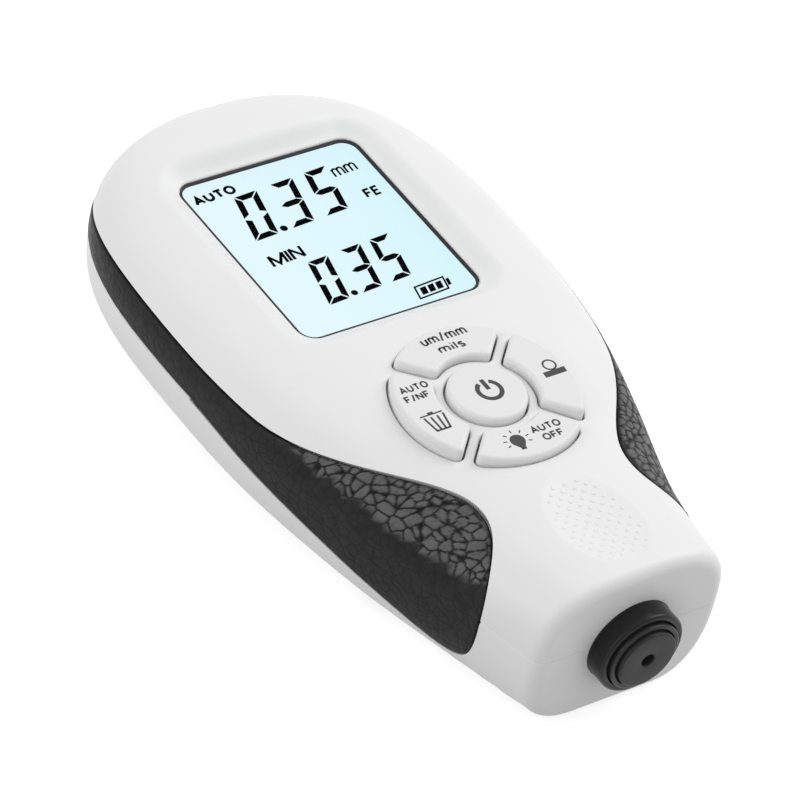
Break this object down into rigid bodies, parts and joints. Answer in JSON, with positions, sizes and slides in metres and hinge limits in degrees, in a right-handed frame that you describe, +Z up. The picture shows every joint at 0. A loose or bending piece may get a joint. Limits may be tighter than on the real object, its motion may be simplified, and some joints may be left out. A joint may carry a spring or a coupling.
{
  "type": "coating thickness gauge",
  "caption": "Hand-held coating thickness gauge with a lit display, a ring of push keys, grained side grips and a sprung round probe on its nose.",
  "frame": {"origin": "on the rest plane, under the middle of the overall box", "axes": "+Z up out of the display, +Y from the probe towards the rear end, +X to the right of the display"},
  "size_m": [0.0658, 0.1212, 0.0268],
  "materials": {
    "cover_white": "satin",
    "grip_black": "leather grain",
    "gasket": "matte",
    "lens": "polished",
    "display": "lit display",
    "diffuser": "matte",
    "elastomer": "matte",
    "board": "lacquered",
    "keys": "satin",
    "dome_rubber": "matte",
    "probe_black": "gloss",
    "probe_grey": "satin",
    "guide_grey": "matte",
    "steel": "bright",
    "copper_wire": "lacquered",
    "cell_sleeve": "gloss"
  },
  "bodies": {
    "case": {"top_cover": "cover_white", "bottom_cover": "cover_white", "left_grip": "grip_black", "right_grip": "grip_black", "window_gasket": "gasket", "lcd_window": "lens", "lcd_panel": "display", "backlight_panel": "diffuser", "zebra_connector": "elastomer", "main_board": "board", "key_sheet": "dome_rubber", "probe_collar": "probe_black", "probe_sleeve": "probe_black", "probe_guide": "guide_grey", "probe_spring": "steel", "battery_1": "cell_sleeve", "battery_2": "cell_sleeve", "contact_springs": "steel", "contact_plates": "steel", "case_screws": "steel", "board_screws": "steel", "screw_plugs": "gasket"},
    "power_key": {"power_button": "keys"},
    "calibrate_key": {"calibrate_button": "keys"},
    "unit_key": {"unit_button": "keys"},
    "mode_key": {"mode_button": "keys"},
    "light_key": {"light_button": "keys"},
    "probe": {"probe_barrel": "probe_grey", "probe_core": "steel", "probe_coil": "copper_wire"},
    "door": {"battery_door": "cover_white"}
  },
  "joints": [
    {"name": "power_key_press", "type": "slide", "parent": "case", "child": "power_key", "axis": [0, 0, -1], "range_m": [0, 0.0008], "stiffness_N_per_m": 800, "springref_m": -0.0004, "deforming": ["key_sheet"]},
    {"name": "calibrate_key_press", "type": "slide", "parent": "case", "child": "calibrate_key", "axis": [0, 0, -1], "range_m": [0, 0.0008], "stiffness_N_per_m": 800, "springref_m": -0.0004, "deforming": ["key_sheet"]},
    {"name": "unit_key_press", "type": "slide", "parent": "case", "child": "unit_key", "axis": [0, 0, -1], "range_m": [0, 0.0008], "stiffness_N_per_m": 800, "springref_m": -0.0004, "deforming": ["key_sheet"]},
    {"name": "mode_key_press", "type": "slide", "parent": "case", "child": "mode_key", "axis": [0, 0, -1], "range_m": [0, 0.0008], "stiffness_N_per_m": 800, "springref_m": -0.0004, "deforming": ["key_sheet"]},
    {"name": "light_key_press", "type": "slide", "parent": "case", "child": "light_key", "axis": [0, 0, -1], "range_m": [0, 0.0008], "stiffness_N_per_m": 800, "springref_m": -0.0004, "deforming": ["key_sheet"]},
    {"name": "probe_press", "type": "slide", "parent": "case", "child": "probe", "axis": [0, 1, 0], "range_m": [0, 0.002], "stiffness_N_per_m": 600, "springref_m": -0.001, "deforming": ["probe_spring"]},
    {"name": "door_lift", "type": "slide", "parent": "case", "child": "door", "axis": [0, 0, -1], "range_m": [0, 0.012]}
  ]
}
